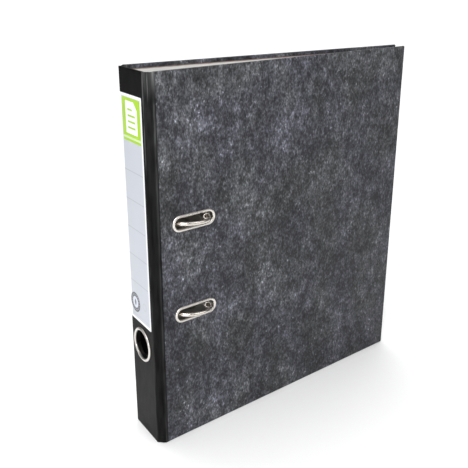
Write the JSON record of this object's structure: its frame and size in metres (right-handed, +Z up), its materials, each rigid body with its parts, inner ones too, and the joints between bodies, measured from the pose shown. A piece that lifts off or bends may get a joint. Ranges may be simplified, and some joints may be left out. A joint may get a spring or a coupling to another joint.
{
  "type": "lever arch file",
  "caption": "Narrow lever arch file in cloud-marbled board with a black spine strip, rimmed cover slots, finger ring and a lever-worked arch mechanism.",
  "frame": {"origin": "centre of the footprint, on the surface that the bottom edges stand on", "axes": "+X from the spine to the fore-edge, -Y out of the front cover, +Y out of the back cover, +Z up"},
  "size_m": [0.2932, 0.0566, 0.318],
  "materials": {
    "cloud_paper": "cloud-marbled dark grey covering paper, matt with a faint sheen",
    "black_strip": "black coated strip, fine grain, half matt",
    "grey_board": "raw grey board",
    "lining_paper": "uncoated off-white lining",
    "label_paper": "coated white label with a green block and grey rules",
    "nickel": "bright nickel plate",
    "zinc_steel": "zinc plated sheet",
    "spring_steel": "drawn spring wire",
    "black_plastic": "moulded black plastic"
  },
  "bodies": {
    "back_cover": {"back_board": "grey_board", "back_cover_paper": "cloud_paper", "back_lining": "lining_paper", "back_hinge_strip": "black_strip", "base_plate": "zinc_steel", "rivet_1": "nickel", "rivet_2": "nickel", "rivet_3": "nickel", "rivet_4": "nickel", "post_lower": "nickel", "post_upper": "nickel", "lever_pin": "zinc_steel", "bow_spring": "spring_steel"},
    "spine": {"spine_board": "grey_board", "spine_strip": "black_strip", "spine_lining": "lining_paper", "spine_label": "label_paper", "finger_ring": "nickel", "finger_ring_washer": "nickel"},
    "front_cover": {"front_board": "grey_board", "front_cover_paper": "cloud_paper", "front_lining": "lining_paper", "front_hinge_strip": "black_strip", "slot_rim_lower": "nickel", "slot_rim_upper": "nickel"},
    "bow": {"arch_bow": "nickel"},
    "lever": {"lever_arm": "nickel", "roller_pin": "zinc_steel"},
    "roller": {"lever_roller": "zinc_steel"},
    "compressor": {"compressor_bar": "zinc_steel", "compressor_guide_lower": "black_plastic", "compressor_guide_upper": "black_plastic"}
  },
  "joints": [
    {"name": "spine_hinge", "type": "hinge", "parent": "back_cover", "child": "spine", "pos_m": [-0.1438, 0.02555, 0.159], "axis": [0, 0, -1], "range_deg": [0, 90]},
    {"name": "front_cover_hinge", "type": "hinge", "parent": "spine", "child": "front_cover", "pos_m": [-0.1438, -0.02225, 0.159], "axis": [0, 0, -1], "range_deg": [0, 180]},
    {"name": "bow_pivot", "type": "hinge", "parent": "back_cover", "child": "bow", "pos_m": [-0.1214, 0.02075, 0.1578], "axis": [0, 0, -1], "range_deg": [0, 54]},
    {"name": "lever_pivot", "type": "hinge", "parent": "back_cover", "child": "lever", "pos_m": [-0.0954, 0.01915, 0.1578], "axis": [0, 0, 1], "range_deg": [0, 75]},
    {"name": "roller_spin", "type": "hinge", "parent": "lever", "child": "roller", "pos_m": [-0.1118, 0.0147, 0.1578], "axis": [0, 0, 1], "range_deg": [0, 90]},
    {"name": "compressor_slide", "type": "slide", "parent": "back_cover", "child": "compressor", "axis": [0, -1, 0], "range_m": [0, 0.026]}
  ],
  "couplings": [
    {"joint": "bow_pivot", "follows": "spine_hinge", "ratio": 0.6},
    {"joint": "lever_pivot", "follows": "spine_hinge", "ratio": 0.83333},
    {"joint": "roller_spin", "follows": "spine_hinge", "ratio": 1}
  ]
}
